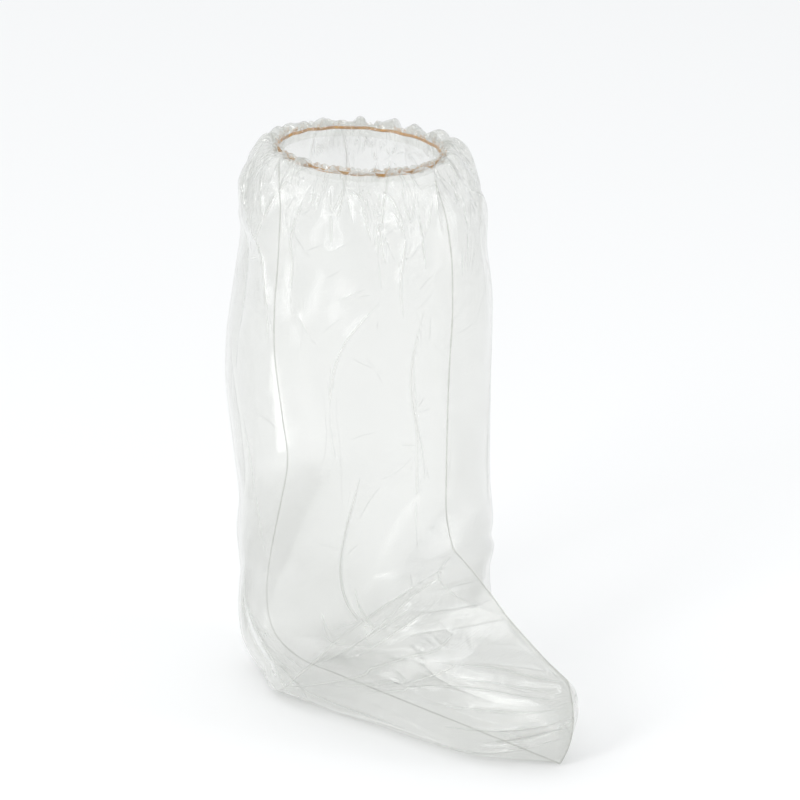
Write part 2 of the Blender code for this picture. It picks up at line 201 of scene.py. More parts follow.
def bag_sections():
    """Each section: front forward and up, back forward and up, side, front and lower swell, bow."""
    rows = []
    for spread, rise, shift in SHOULDER:
        radius = MOUTH_RADIUS + spread * (SHAFT_RADIUS - MOUTH_RADIUS)
        up = MOUTH_HEIGHT + rise * SHOULDER_DEPTH
        move = shift * SHAFT_RADIUS
        rows.append((move + radius, up, move - radius, up, radius, 0, 0, 0))
    for height, front, back, side in SHAFT:
        up = BEND_HEIGHT + height * (MOUTH_HEIGHT - SHOULDER_DEPTH - BEND_HEIGHT)
        rows.append((front * SHAFT_RADIUS, up, -back * SHAFT_RADIUS, up, side * SHAFT_RADIUS, 0, 0, 0))
    for slide, back, up, side, front, lower in ANKLE:
        low = SOLE_FILM + up * (BEND_HEIGHT - SOLE_FILM)
        rows.append((*instep(slide), -back * HEEL_REACH, low, side * HEEL_HALF_WIDTH, front, lower, 0))
    for slide, forward, side, front, lower, bow in FOOT:
        wide = side * SOLE_HALF_WIDTH
        rows.append((*instep(slide), forward * SOLE_REACH, SOLE_FILM, wide, front, lower, bow * TOE_BOW))
    return np.array(rows)


SECTIONS = bag_sections()


def half_section(t):
    """The near half of one section as points (out, forward, up), front line first."""
    front_y, front_z, back_y, back_z, side, swell, lower_swell, bow = through(SECTIONS, t)
    angle = np.linspace(0, math.pi, SECTION_POINTS)
    cos, sin = np.cos(angle), np.clip(np.sin(angle), 0, 1)
    power = 1 - SWELL_POWER * np.where(cos < 0, lower_swell, swell)
    reach = np.sign(cos) * np.abs(cos) ** power
    front, back = np.array((front_y, front_z)), np.array((back_y, back_z))
    axis = front - back
    across = np.array((axis[1], -axis[0])) / np.linalg.norm(axis)
    plane = (front + back) / 2 + 0.5 * reach[:, None] * axis + bow * (1 - reach[:, None] ** 2) * across
    return np.column_stack((WELD_EDGE + max(side, 0.0) * sin ** power, plane))


def measured_film():
    """Film from the elastic to each t: the mean of the front, side and back lines."""
    fine = np.linspace(0, len(SECTIONS) - 1, STEPS_PER_SECTION * (len(SECTIONS) - 1) + 1)
    lines = np.array([half_section(t)[::SECTION_POINTS // 2] for t in fine])
    steps = np.linalg.norm(np.diff(lines, axis=0), axis=2).mean(axis=1)
    return np.concatenate(((0,), np.cumsum(steps))), fine


FILM, FILM_T = measured_film()
FULL = FILM[-1]


def fades(x):
    """1 at 0 and 0 from 1 on."""
    x = np.clip(x, 0, 1)
    return 1 - x * x * (3 - 2 * x)


def bag_row(length, columns):
    """Points (out, forward, up) round the near half of the smooth bag, at this length of film."""
    line = half_section(float(np.interp(length, FILM, FILM_T)))
    steps = np.concatenate(((0,), np.cumsum(np.linalg.norm(np.diff(line, axis=0), axis=1))))
    even = np.linspace(0, steps[-1], columns + 1)
    row = np.column_stack([np.interp(even, steps, line[:, k]) for k in range(3)])
    tilt = MOUTH_TILT * float(fades((length - HEM_REACH) / TILT_RUN))
    forward, up = row[:, 1].copy(), row[:, 2] - MOUTH_HEIGHT
    row[:, 1] = forward * math.cos(tilt) + up * math.sin(tilt)
    row[:, 2] = MOUTH_HEIGHT + up * math.cos(tilt) - forward * math.sin(tilt)
    return row


# The bend at the ankle is eased, so that the film turns there without a ledge.
EASED_SHARE = 0.54
EASED_REACH = 0.05
EASING = 0.25
EASING_ROUNDS = 60


def smooth_bag(lengths, columns):
    """The near half with no fold in it, and the way out of it at each point."""
    rows, ways = [], []
    for length in lengths:
        before, at, after = [
            bag_row(min(max(length + step, 0), FULL), columns) for step in (-WAY_STEP, 0, WAY_STEP)
        ]
        way = np.cross(np.gradient(at, axis=0), after - before)
        rows.append(at)
        ways.append(way / np.maximum(np.linalg.norm(way, axis=1, keepdims=True), 1e-12))
    rows, ways = np.array(rows), np.array(ways)
    share = np.asarray(lengths)[1:-1] / FULL
    ease = (np.exp(-((share - EASED_SHARE) / EASED_REACH) ** 2) * EASING)[:, None, None]
    if ease.max() > 0.01:
        for _ in range(EASING_ROUNDS):
            for grid in (rows, ways):
                grid[1:-1] += ease * (grid[2:] - 2 * grid[1:-1] + grid[:-2])
        ways /= np.linalg.norm(ways, axis=2, keepdims=True)
    return rows, ways


def cloud(points, size, seed):
    """Smooth noise from -1 to 1 over points in space, with waves of about this size."""
    p = points / size + seed * 17.31
    cell = np.floor(p)
    f = p - cell
    f = f * f * (3 - 2 * f)
    total = 0
    for corner in range(8):
        step = np.array([(corner >> k) & 1 for k in range(3)])
        hashed = np.sin((cell + step) @ np.array((127.1, 311.7, 74.7)) + seed) * 43758.5453
        weight = np.prod(np.where(step == 1, f, 1 - f), axis=-1)
        total = total + weight * (hashed - np.floor(hashed))
    return 2 * total - 1


# Folds seen on the film: share runs from 0 at the elastic to 1 at the toe, and turn from 0 at the front
# line to 1 at the back line. Heights are in millimetres, less than 0 for a valley.
FOLDS = (
    # side, height, points of (share, turn)
    (NEAR, 2.6, ((0.703, 0.690), (0.691, 0.444), (0.645, 0.194), (0.612, 0.040))),
    (NEAR, 2.0, ((0.714, 0.444), (0.700, 0.275), (0.690, 0.200))),
    (NEAR, -1.8, ((0.702, 0.560), (0.703, 0.360), (0.668, 0.180), (0.630, 0.060))),
    (NEAR, -1.6, ((0.728, 0.420), (0.722, 0.270), (0.712, 0.170))),
    (NEAR, 3.6, ((0.703, 0.700), (0.755, 0.481), (0.777, 0.331), (0.792, 0.250), (0.778, 0.160))),
    (NEAR, -2.4, ((0.745, 0.590), (0.800, 0.440), (0.818, 0.340), (0.830, 0.240))),
    (NEAR, 3.0, ((0.782, 0.544), (0.845, 0.375), (0.909, 0.269), (0.991, 0.200))),
    (NEAR, 2.8, ((0.809, 0.288), (0.882, 0.169), (0.991, 0.040))),
    (NEAR, -1.6, ((0.840, 0.310), (0.900, 0.215), (0.980, 0.120))),
    (NEAR, -1.2, ((0.850, 0.470), (0.920, 0.370), (0.990, 0.300))),
    (NEAR, 2.4, ((0.880, 0.560), (0.945, 0.462), (0.973, 0.431), (0.998, 0.400))),
    (NEAR, -2.6, ((0.930, 0.610), (0.970, 0.560), (0.996, 0.500))),
    (NEAR, 1.5, ((0.880, 0.700), (0.950, 0.650), (0.994, 0.600))),
    (NEAR, 2.4, ((0.530, 0.600), (0.577, 0.662), (0.609, 0.656), (0.650, 0.660), (0.690, 0.690))),
    (NEAR, -3.4, ((0.515, 0.680), (0.570, 0.750), (0.620, 0.750), (0.670, 0.720))),
    (NEAR, 2.6, ((0.600, 0.930), (0.650, 0.860), (0.690, 0.780), (0.703, 0.710))),
    (NEAR, -1.8, ((0.660, 0.920), (0.710, 0.840), (0.735, 0.760))),
    (NEAR, 2.0, ((0.710, 0.730), (0.760, 0.790), (0.830, 0.800), (0.900, 0.780))),
    (NEAR, -2.0, ((0.715, 0.670), (0.770, 0.690), (0.850, 0.670))),
    (NEAR, 1.6, ((0.577, 0.020), (0.640, 0.085), (0.759, 0.060))),
    (NEAR, 1.2, ((0.180, 0.200), (0.232, 0.275), (0.300, 0.300), (0.380, 0.290))),
    (NEAR, 2.8, ((0.040, 0.660), (0.073, 0.619), (0.100, 0.581), (0.182, 0.494), (0.240, 0.470))),
    (NEAR, -3.0, ((0.045, 0.740), (0.110, 0.680), (0.190, 0.620), (0.290, 0.600))),
    (NEAR, 0.6, ((0.120, 0.780), (0.200, 0.740), (0.300, 0.720), (0.400, 0.740))),
    (NEAR, 2.2, ((0.036, 0.430), (0.059, 0.481), (0.086, 0.506), (0.130, 0.560))),
    (NEAR, -2.4, ((0.035, 0.380), (0.075, 0.410), (0.130, 0.440), (0.200, 0.420))),
    (NEAR, 2.0, ((0.034, 0.300), (0.050, 0.240), (0.100, 0.215))),
    (NEAR, -2.0, ((0.036, 0.215), (0.070, 0.190), (0.130, 0.185))),
    (NEAR, 2.4, ((0.036, 0.170), (0.055, 0.144), (0.100, 0.131), (0.150, 0.150), (0.200, 0.140))),
    (NEAR, -1.8, ((0.036, 0.090), (0.070, 0.075), (0.140, 0.080))),
    (NEAR, 0.9, ((0.280, 0.800), (0.380, 0.830), (0.500, 0.800))),
    (NEAR, 0.8, ((0.240, 0.110), (0.360, 0.090), (0.500, 0.100))),
    (NEAR, -0.9, ((0.340, 0.560), (0.430, 0.540), (0.520, 0.500))),
    (FAR, 2.4, ((0.035, 0.140), (0.060, 0.165), (0.095, 0.260))),
    (FAR, -2.4, ((0.040, 0.240), (0.090, 0.310), (0.150, 0.340), (0.230, 0.350))),
    (FAR, 1.8, ((0.035, 0.360), (0.080, 0.420), (0.130, 0.430))),
    (FAR, 2.2, ((0.040, 0.520), (0.090, 0.560), (0.170, 0.540))),
    (FAR, -2.4, ((0.040, 0.640), (0.100, 0.690), (0.200, 0.720))),
    (FAR, 2.2, ((0.040, 0.820), (0.090, 0.800), (0.160, 0.830))),
    (FAR, -1.6, ((0.036, 0.060), (0.080, 0.080), (0.150, 0.060))),
    (FAR, 1.0, ((0.640, 0.560), (0.660, 0.340), (0.665, 0.160))),
    (FAR, 3.0, ((0.690, 0.720), (0.740, 0.480), (0.790, 0.300), (0.800, 0.120))),
    (FAR, -2.0, ((0.660, 0.640), (0.700, 0.440), (0.730, 0.220))),
    (FAR, 1.6, ((0.770, 0.560), (0.850, 0.360), (0.930, 0.260), (0.990, 0.220))),
    (FAR, -1.6, ((0.790, 0.640), (0.880, 0.470), (0.970, 0.380))),
    (FAR, -1.8, ((0.500, 0.780), (0.580, 0.800), (0.650, 0.780))),
    (FAR, 2.0, ((0.700, 0.740), (0.770, 0.790), (0.850, 0.760))),
    (FAR, 0.9, ((0.240, 0.240), (0.360, 0.200), (0.500, 0.220))),
    (FAR, 0.9, ((0.280, 0.600), (0.380, 0.640), (0.500, 0.610))),
)
HALF_GIRTH = 0.29          # a panel's mean width, for the facets' proportions
FACET_STEPS = (600, 300)   # the crease map's steps along and across a panel
FACETS = (
    # spacing, height, bent along the folds too
    (0.034, 0.0012, True),
    (0.015, 0.00050, False),
    (0.007, 0.00016, False),
)
FOLD_END = 0.35            # a fold's height at its two ends, as a share
FOLD_CHANCE = (0.85, 1.1)  # how far chance changes a fold's height
SPOT_CHANCE = 0.38         # how far chance moves a facet's corner, as a share of the spacing
FOLD_CLEAR = 0.55          # how near to a fold no corner lies, as a share of the spacing
WELD_CALM = 0.25           # heights beside the welds, as a share
SMOOTHINGS = 5


def facets(spots, heights, creases):
    """A map of flat facets between the spots, bent only along their edges, as taut film creases."""
    joined = geometry.delaunay_2d_cdt([Vector(spot) for spot in spots], creases, [], 0, 1e-6)
    places = np.array([tuple(v) for v in joined[0]])
    levels = np.zeros(len(places))
    known = np.array(spots)
    for k, sources in enumerate(joined[3]):
        if sources:
            levels[k] = np.mean([heights[s] for s in sources])
        else:
            nearest = np.argsort(np.linalg.norm(known - places[k], axis=1))[:2]
            levels[k] = np.mean([heights[s] for s in nearest])
    high, wide = FACET_STEPS
    level = np.zeros((high + 1, wide + 1))
    scale = np.array((wide / HALF_GIRTH, high / FULL))
    for face in joined[2]:
        corners = places[face] * scale
        low = np.floor(corners.min(axis=0)).astype(int)
        top = np.ceil(corners.max(axis=0)).astype(int) + 1
        low = np.maximum(low, 0)
        top = np.minimum(top, (wide + 1, high + 1))
        if (top <= low).any():
            continue
        x, y = np.meshgrid(np.arange(low[0], top[0]), np.arange(low[1], top[1]))
        (ax, ay), (bx, by), (cx, cy) = corners[:3]
        whole = (by - cy) * (ax - cx) + (cx - bx) * (ay - cy)
        if abs(whole) < 1e-9:
            continue
        first = ((by - cy) * (x - cx) + (cx - bx) * (y - cy)) / whole
        second = ((cy - ay) * (x - cx) + (ax - cx) * (y - cy)) / whole
        inside = (first >= -1e-6) & (second >= -1e-6) & (first + second <= 1 + 1e-6)
        value = first * levels[face[0]] + second * levels[face[1]] + (1 - first - second) * levels[face[2]]
        level[y[inside], x[inside]] = value[inside]
    return level


# The film is crumpled all round below the mouth and nearly smooth on the shaft, with small patches of
# sharp crumples on the instep, at the heel and at the toe.
CRUMPLED = (
    # share, strength
    (0.00, 0.3),
    (0.04, 1.0),
    (0.10, 0.8),
    (0.16, 0.40),
    (0.24, 0.16),
    (0.52, 0.14),
    (0.62, 0.25),
    (0.95, 0.25),
    (1.00, 0.10),
)
PATCHES = (
    # side, share, turn, size, strength
    (NEAR, 0.640, 0.100, 0.020, 0.55),
    (NEAR, 0.695, 0.130, 0.022, 0.60),
    (NEAR, 0.765, 0.170, 0.022, 0.40),
    (NEAR, 0.735, 0.330, 0.018, 0.30),
    (NEAR, 0.690, 0.700, 0.018, 0.40),
    (NEAR, 0.650, 0.900, 0.040, 0.55),
    (NEAR, 0.985, 0.420, 0.016, 0.80),
    (NEAR, 0.090, 0.700, 0.030, 0.45),
    (FAR, 0.700, 0.140, 0.024, 0.50),
    (FAR, 0.690, 0.700, 0.020, 0.60),
    (FAR, 0.760, 0.300, 0.022, 0.25),
    (FAR, 0.650, 0.900, 0.040, 0.55),
    (FAR, 0.985, 0.300, 0.020, 0.60),
)


def crumpled(side, over, along):
    """How crumpled a panel is, at metres across it from the front line and down from the elastic."""
    share_at, strength_at = np.array(CRUMPLED).T
    strength = np.interp(along / FULL, share_at, strength_at)
    for where, share, turn, size, more in PATCHES:
        if where == side:
            away = (over - turn * HALF_GIRTH) ** 2 + (along - share * FULL) ** 2
            strength = strength + more * np.exp(-away / size ** 2)
    return strength


def crease_map(side):
    """Heights of one panel's folds and facets in metres, on an even grid."""
    dice = np.random.RandomState(5 + side)
    total = np.zeros((FACET_STEPS[0] + 1, FACET_STEPS[1] + 1))
    for spacing, height, with_folds in FACETS:
        spots, heights, creases = [], [], []
        if with_folds:
            for where, tall, line in FOLDS:
                if where != side:
                    continue
                for k, (share, turn) in enumerate(line):
                    if k:
                        creases.append((len(spots) - 1, len(spots)))
                    spots.append((turn * HALF_GIRTH, share * FULL))
                    at_end = k in (0, len(line) - 1)
                    heights.append(0.001 * tall * (FOLD_END if at_end else 1.0) * dice.uniform(*FOLD_CHANCE))
        fixed = np.array(spots) if spots else np.zeros((0, 2))
        down, over = round(FULL / spacing), round(HALF_GIRTH / spacing)
        for row in range(down + 1):
            for column in range(over + 1):
                x, y = column / over * HALF_GIRTH, row / down * FULL
                if 0 < column < over:
                    x += dice.uniform(-SPOT_CHANCE, SPOT_CHANCE) * spacing
                if 0 < row < down:
                    y += dice.uniform(-SPOT_CHANCE, SPOT_CHANCE) * spacing
                if len(fixed) and np.linalg.norm(fixed - (x, y), axis=1).min() < FOLD_CLEAR * spacing:
                    continue
                spots.append((x, y))
                edge = WELD_CALM if column in (0, over) else 1.0
                heights.append(height * dice.uniform(-1, 1) * edge * float(crumpled(side, x, y)))
        total += facets(spots, heights, creases)
    for _ in range(SMOOTHINGS):
        total[1:-1] += 0.25 * (total[2:] - 2 * total[1:-1] + total[:-2])
        total[:, 1:-1] += 0.25 * (total[:, 2:] - 2 * total[:, 1:-1] + total[:, :-2])
    return total


CREASE_MAPS = {side: crease_map(side) for side in (NEAR, FAR)}


def from_map(chart, lengths, columns):
    """The map's values at these lengths and at even steps across the panel."""
    down = np.clip(np.asarray(lengths) / FULL, 0, 1) * FACET_STEPS[0]
    over = np.linspace(0, FACET_STEPS[1], columns + 1)
    row = np.minimum(down.astype(int), FACET_STEPS[0] - 1)
    column = np.minimum(over.astype(int), FACET_STEPS[1] - 1)
    f = (down - row)[:, None]
    g = (over - column)[None, :]
    upper = chart[row][:, column] * (1 - g) + chart[row][:, column + 1] * g
    lower = chart[row + 1][:, column] * (1 - g) + chart[row + 1][:, column + 1] * g
    return upper * (1 - f) + lower * f


# Fine wrinkles, strewn by chance within these bounds. The lean is measured from the way down the film.
WRINKLES = (
    # how many, share, turn, length in millimetres, lean in degrees, depth
    (44, (0.001, 0.012), (0.01, 0.99), (14, 42), (-20, 20), (0.45, 1.00)),
    (56, (0.022, 0.060), (0.02, 0.98), (9, 44), (-28, 28), (0.35, 1.00)),
    (26, (0.060, 0.200), (0.03, 0.97), (8, 34), (-80, 80), (0.20, 0.60)),
    (20, (0.200, 0.560), (0.04, 0.96), (7, 26), (-90, 90), (0.15, 0.40)),
    (6, (0.200, 0.420), (0.06, 0.94), (50, 110), (-9, 9), (0.10, 0.22)),
    (20, (0.600, 0.790), (0.04, 0.30), (7, 28), (20, 70), (0.12, 0.40)),
    (14, (0.760, 0.960), (0.18, 0.72), (12, 46), (-18, 18), (0.20, 0.55)),
    (16, (0.600, 0.740), (0.58, 0.96), (8, 30), (-70, 40), (0.25, 0.65)),
)
CREASE_REACH = 0.006       # how far to each side a crease shows
CREASE_RISE = 0.0007       # how far the deepest stands out of the film
CREASE_WIDTH = 0.0022      # how fast it dies out to both sides
CREASE_FADE = 0.002        # the outer part of its reach, over which it fades
CREASES_APART = 0.0015     # two creases nearer than this fade where they meet
FOLD_DRAWN = (0.5, 3.6, 1.4)   # a fold's crease: least depth, height in millimetres that adds 1, most depth
POINTS_PER_BEND = 6
WRINKLE_POINTS = 5
WRINKLE_BOW = 0.08


def crease_lines(side):
    """Every crease of a panel: its places across and along the film in metres, and its depth."""
    lines = []
    least, height, most = FOLD_DRAWN
    for where, tall, line in FOLDS:
        if where == side:
            steps = np.linspace(0, len(line) - 1, POINTS_PER_BEND * (len(line) - 1) + 1)
            places = np.array([through(line, t) for t in steps])[:, ::-1] * (HALF_GIRTH, FULL)
            lines.append((places, math.copysign(min(least + abs(tall) / height, most), tall)))
    dice = np.random.RandomState(40 + side)
    for count, share, turn, size, lean, depth in WRINKLES:
        for _ in range(count):
            start = np.array((dice.uniform(*turn) * HALF_GIRTH, dice.uniform(*share) * FULL))
            angle = math.radians(dice.uniform(*lean))
            way = np.array((math.sin(angle), math.cos(angle)))
            long = 0.001 * dice.uniform(*size)
            bow = dice.uniform(-WRINKLE_BOW, WRINKLE_BOW) * long
            t = np.linspace(0, 1, WRINKLE_POINTS)[:, None]
            places = start + t * long * way + 4 * t * (1 - t) * bow * way[::-1] * (-1, 1)
            lines.append((places, dice.uniform(*depth) * dice.choice((-1, 1))))
    return lines


def crease_field(side, lengths, columns):
    """How far to one side of the nearest crease each place of a panel lies, and that crease's depth."""
    along, over = np.asarray(lengths), np.linspace(0, HALF_GIRTH, columns + 1)
    nearest = np.full((len(along), len(over)), CREASE_REACH)
    second = nearest.copy()
    depths = np.zeros_like(nearest)
    for places, depth in crease_lines(side):
        low, top = places.min(axis=0) - CREASE_REACH, places.max(axis=0) + CREASE_REACH
        rows = np.flatnonzero((along > low[1]) & (along < top[1]))
        cols = np.flatnonzero((over > low[0]) & (over < top[0]))
        if not (len(rows) and len(cols)):
            continue
        x, y = np.meshgrid(over[cols], along[rows])
        here, sunk = np.full(x.shape, 1.0), np.zeros(x.shape)
        for k, (a, b) in enumerate(zip(places, places[1:])):
            run = b - a
            t = np.clip(((x - a[0]) * run[0] + (y - a[1]) * run[1]) / (run @ run), 0, 1)
            away = np.hypot(x - a[0] - t * run[0], y - a[1] - t * run[1])
            sign = np.where((x - a[0]) * run[1] - (y - a[1]) * run[0] < 0, -1, 1)
            closer = away < np.abs(here)
            ends = np.sin(np.pi * (k + t) / (len(places) - 1)) ** 0.5
            here = np.where(closer, sign * away, here)
            sunk = np.where(closer, depth * ends, sunk)
        block = np.ix_(rows, cols)
        closer = np.abs(here) < np.abs(nearest[block])
        second[block] = np.where(closer, np.abs(nearest[block]), np.minimum(second[block], np.abs(here)))
        nearest[block] = np.where(closer, here, nearest[block])
        depths[block] = np.where(closer, sunk, depths[block])
    apart = np.clip((second - np.abs(nearest)) / CREASES_APART, 0, 1)
    return nearest, depths * apart * np.clip((CREASE_REACH - np.abs(nearest)) / CREASE_FADE, 0, 1)


def pleat(phase):
    """A pleat's outline: a wave with straight flanks and sharp turns."""
    return 0.7 * (2 / math.pi) * np.arcsin(np.cos(phase) * 0.98) + 0.3 * np.cos(phase)


# The elastic gathers the film in pleats of three sizes, and the finest die out first.
GATHERS = (
    # height, share of it at the thread, starts at, dies out over, how many all round, how unevenly
    (0.0034, 0.45, 0.004, 0.052, 18, 0.9),
    (0.0016, 1.00, 0.004, 0.034, 31, 1.6),
    (0.0009, 1.00, 0.000, 0.018, 74, 2.6),
)
OPENING_RUN = 0.010        # film over which the widest pleats open out below the thread
BROAD_FOLDS = 6            # all round
BROAD_HEIGHT = 0.0022
BROAD_RUN = 0.120


def gathered(points, lengths, turn):
    """How far the gathers below the elastic push the film out."""
    length = np.asarray(lengths)[:, None]
    wander = 1.4 * cloud(points, 0.030, 21.0) + 0.6 * cloud(points, 0.012, 25.0)
    broad = np.cos(BROAD_FOLDS * turn + 0.5 * wander) * np.minimum(length / HEM_REACH, 1)
    push = BROAD_HEIGHT * fades(length / BROAD_RUN) * broad
    for height, closed, start, run, count, unevenly in GATHERS:
        opening = closed + (1 - closed) * np.minimum(length / OPENING_RUN, 1)
        tall = height * opening * fades((length - start) / run)
        push = push + tall * pleat(count * turn + unevenly * wander)
    return push * (1 + 0.7 * cloud(points, 0.022, 31.0))


SLACK_HEIGHT = 0.0007
SLACK_SIZE = 0.060         # how wide a swell is; it is twice as long
SLACK = (
    # share, strength
    (0.00, 0.0),
    (0.05, 1.0),
    (0.50, 1.0),
    (0.90, 0.7),
    (1.00, 0.2),
)


def slack(points, lengths):
    """The film's broad, soft swells."""
    share_at, strength_at = np.array(SLACK).T
    strength = np.interp(np.asarray(lengths) / FULL, share_at, strength_at)[:, None]
    return SLACK_HEIGHT * cloud(points * (1, 1, 0.5), SLACK_SIZE, 41.0) * strength


# Near a weld the film is stiffer, and along the toe's edge it is pulled straight.
WELD_STIFF = (0.25, 0.05)      # share of the relief left at a weld, and share of the width it comes back over
TOE_STIFF = (0.15, 0.012)      # share left at the toe's edge, and film that it comes back over
FLOOR_CLEAR = 0.0006           # the film's least height above the sole's underside


def film_places(lengths, columns, side, marks):
    """Places of one panel's film in the world, and the way out at each."""
    smooth, out = smooth_bag(lengths, columns)
    world = smooth * (side, 1, 1)
    turn = np.linspace(0, math.pi, columns + 1)[None, :]
    push = from_map(CREASE_MAPS[side], lengths, columns)
    push = push + gathered(world, lengths, turn) + slack(world, lengths)
    push = push + CREASE_RISE * marks["crease_depth"] * np.exp(-np.abs(marks["crease_side"]) / CREASE_WIDTH)
    seam = np.minimum(turn, math.pi - turn) / math.pi
    left, reach = WELD_STIFF
    calm = left + (1 - left) * (1 - fades(seam / reach))
    left, reach = TOE_STIFF
    toe = left + (1 - left) * (1 - fades((FULL - np.asarray(lengths)) / reach))[:, None]
    moved = (push * calm * toe)[..., None] * out
    moved[:, (0, -1), 0] = 0
    shaped = smooth + moved
    shaped[..., 2] = np.maximum(shaped[..., 2], FLOOR_CLEAR)
    shaped[..., 0] = np.maximum(shaped[..., 0], WELD_EDGE)
    return shaped * (side, -1, 1) - (0, 0, MOUTH_HEIGHT), out * (side, -1, 1)


# Where the film lies double on itself, at the heel, the toe and the back of the mouth, it is hazier.
# So it is, a little, where it is crumpled. At the heel the extra haze is also painted shade, which darkens
# the film there.
CRUMPLED_HAZE = 0.6
DOUBLED_AND_PAINTED_SHADE = (
    # share, turn, size, more haze
    (0.645, 0.850, 0.055, 3.8),
    (0.700, 0.830, 0.035, 0.9),
    (0.995, 0.420, 0.050, 4.4),
    (0.985, 0.700, 0.035, 1.0),
    (0.090, 0.820, 0.034, 1.5),
)


def film_marks(lengths, columns, side):
    """What the finish reads: how far beside a crease a place lies, its depth, and how dense the film is, with
    painted shade.
    """
    beside, depth = crease_field(side, lengths, columns)
    over, along = np.meshgrid(np.linspace(0, HALF_GIRTH, columns + 1), lengths)
    layers_and_painted_shade = CRUMPLED_HAZE * crumpled(side, over, along)
    for share, turn, size, more in DOUBLED_AND_PAINTED_SHADE:
        away = (over - turn * HALF_GIRTH) ** 2 + (along - share * FULL) ** 2
        layers_and_painted_shade = layers_and_painted_shade + more * np.exp(-away / size ** 2)
    return {"crease_side": beside, "crease_depth": depth, "layers_and_painted_shade": layers_and_painted_shade}


def sheet_mesh(name, places, turned, marks):
    """A mesh object from a grid of places, its faces outwards, with its marks as attributes."""
    rows, columns = places.shape[:2]
    index = np.arange(rows * columns).reshape(rows, columns)
    quads = np.stack((index[:-1, :-1], index[1:, :-1], index[1:, 1:], index[:-1, 1:]), axis=-1).reshape(-1, 4)
    if turned:
        quads = quads[:, ::-1]
    mesh = bpy.data.meshes.new(name)
    mesh.from_pydata(places.reshape(-1, 3).tolist(), [], quads.tolist())
    mesh.shade_smooth()
    for label, values in marks.items():
        drawn = mesh.attributes.new(label, "FLOAT", "POINT")
        drawn.data.foreach_set("value", values.reshape(-1).astype(np.float32))
    piece = bpy.data.objects.new(name, mesh)
    bpy.context.scene.collection.objects.link(piece)
    return piece


def film_panel(name, side):
    """One panel as an even grid of faces, with its folds, gathers and crumples."""
    lengths = np.linspace(HEM_REACH, FULL, PANEL_ROWS + 1)
    marks = film_marks(lengths, PANEL_COLUMNS, side)
    places, _ = film_places(lengths, PANEL_COLUMNS, side, marks)
    return sheet_mesh(name, places, side < 0, marks), places


DIAMOND_SCALE = 225        # of the wave texture: its ridges are then 1.4 mm apart
DIAMOND_TURN = math.radians(38)
DIAMOND_DEPTH = 0.00012
CREASE_BEND = 0.0008       # how far a crease's bend tilts the light, as a height
CREST_WIDTH = 0.0005       # how wide the whitened line on a crease is
CREST_WHITE = 0.6
HAZE_PATCHES = 22          # of the noise texture, for the uneven haze
LEAST_EDGE_ON = 0.22       # keeps the film at its outline from turning solid
MILK_COLOUR = (0.64, 0.65, 0.615, 1)
FILM_IOR = 1.5
GLOSS_GAIN = 1.8           # both faces of the film are glossy
MOST_GLOSS = 0.6


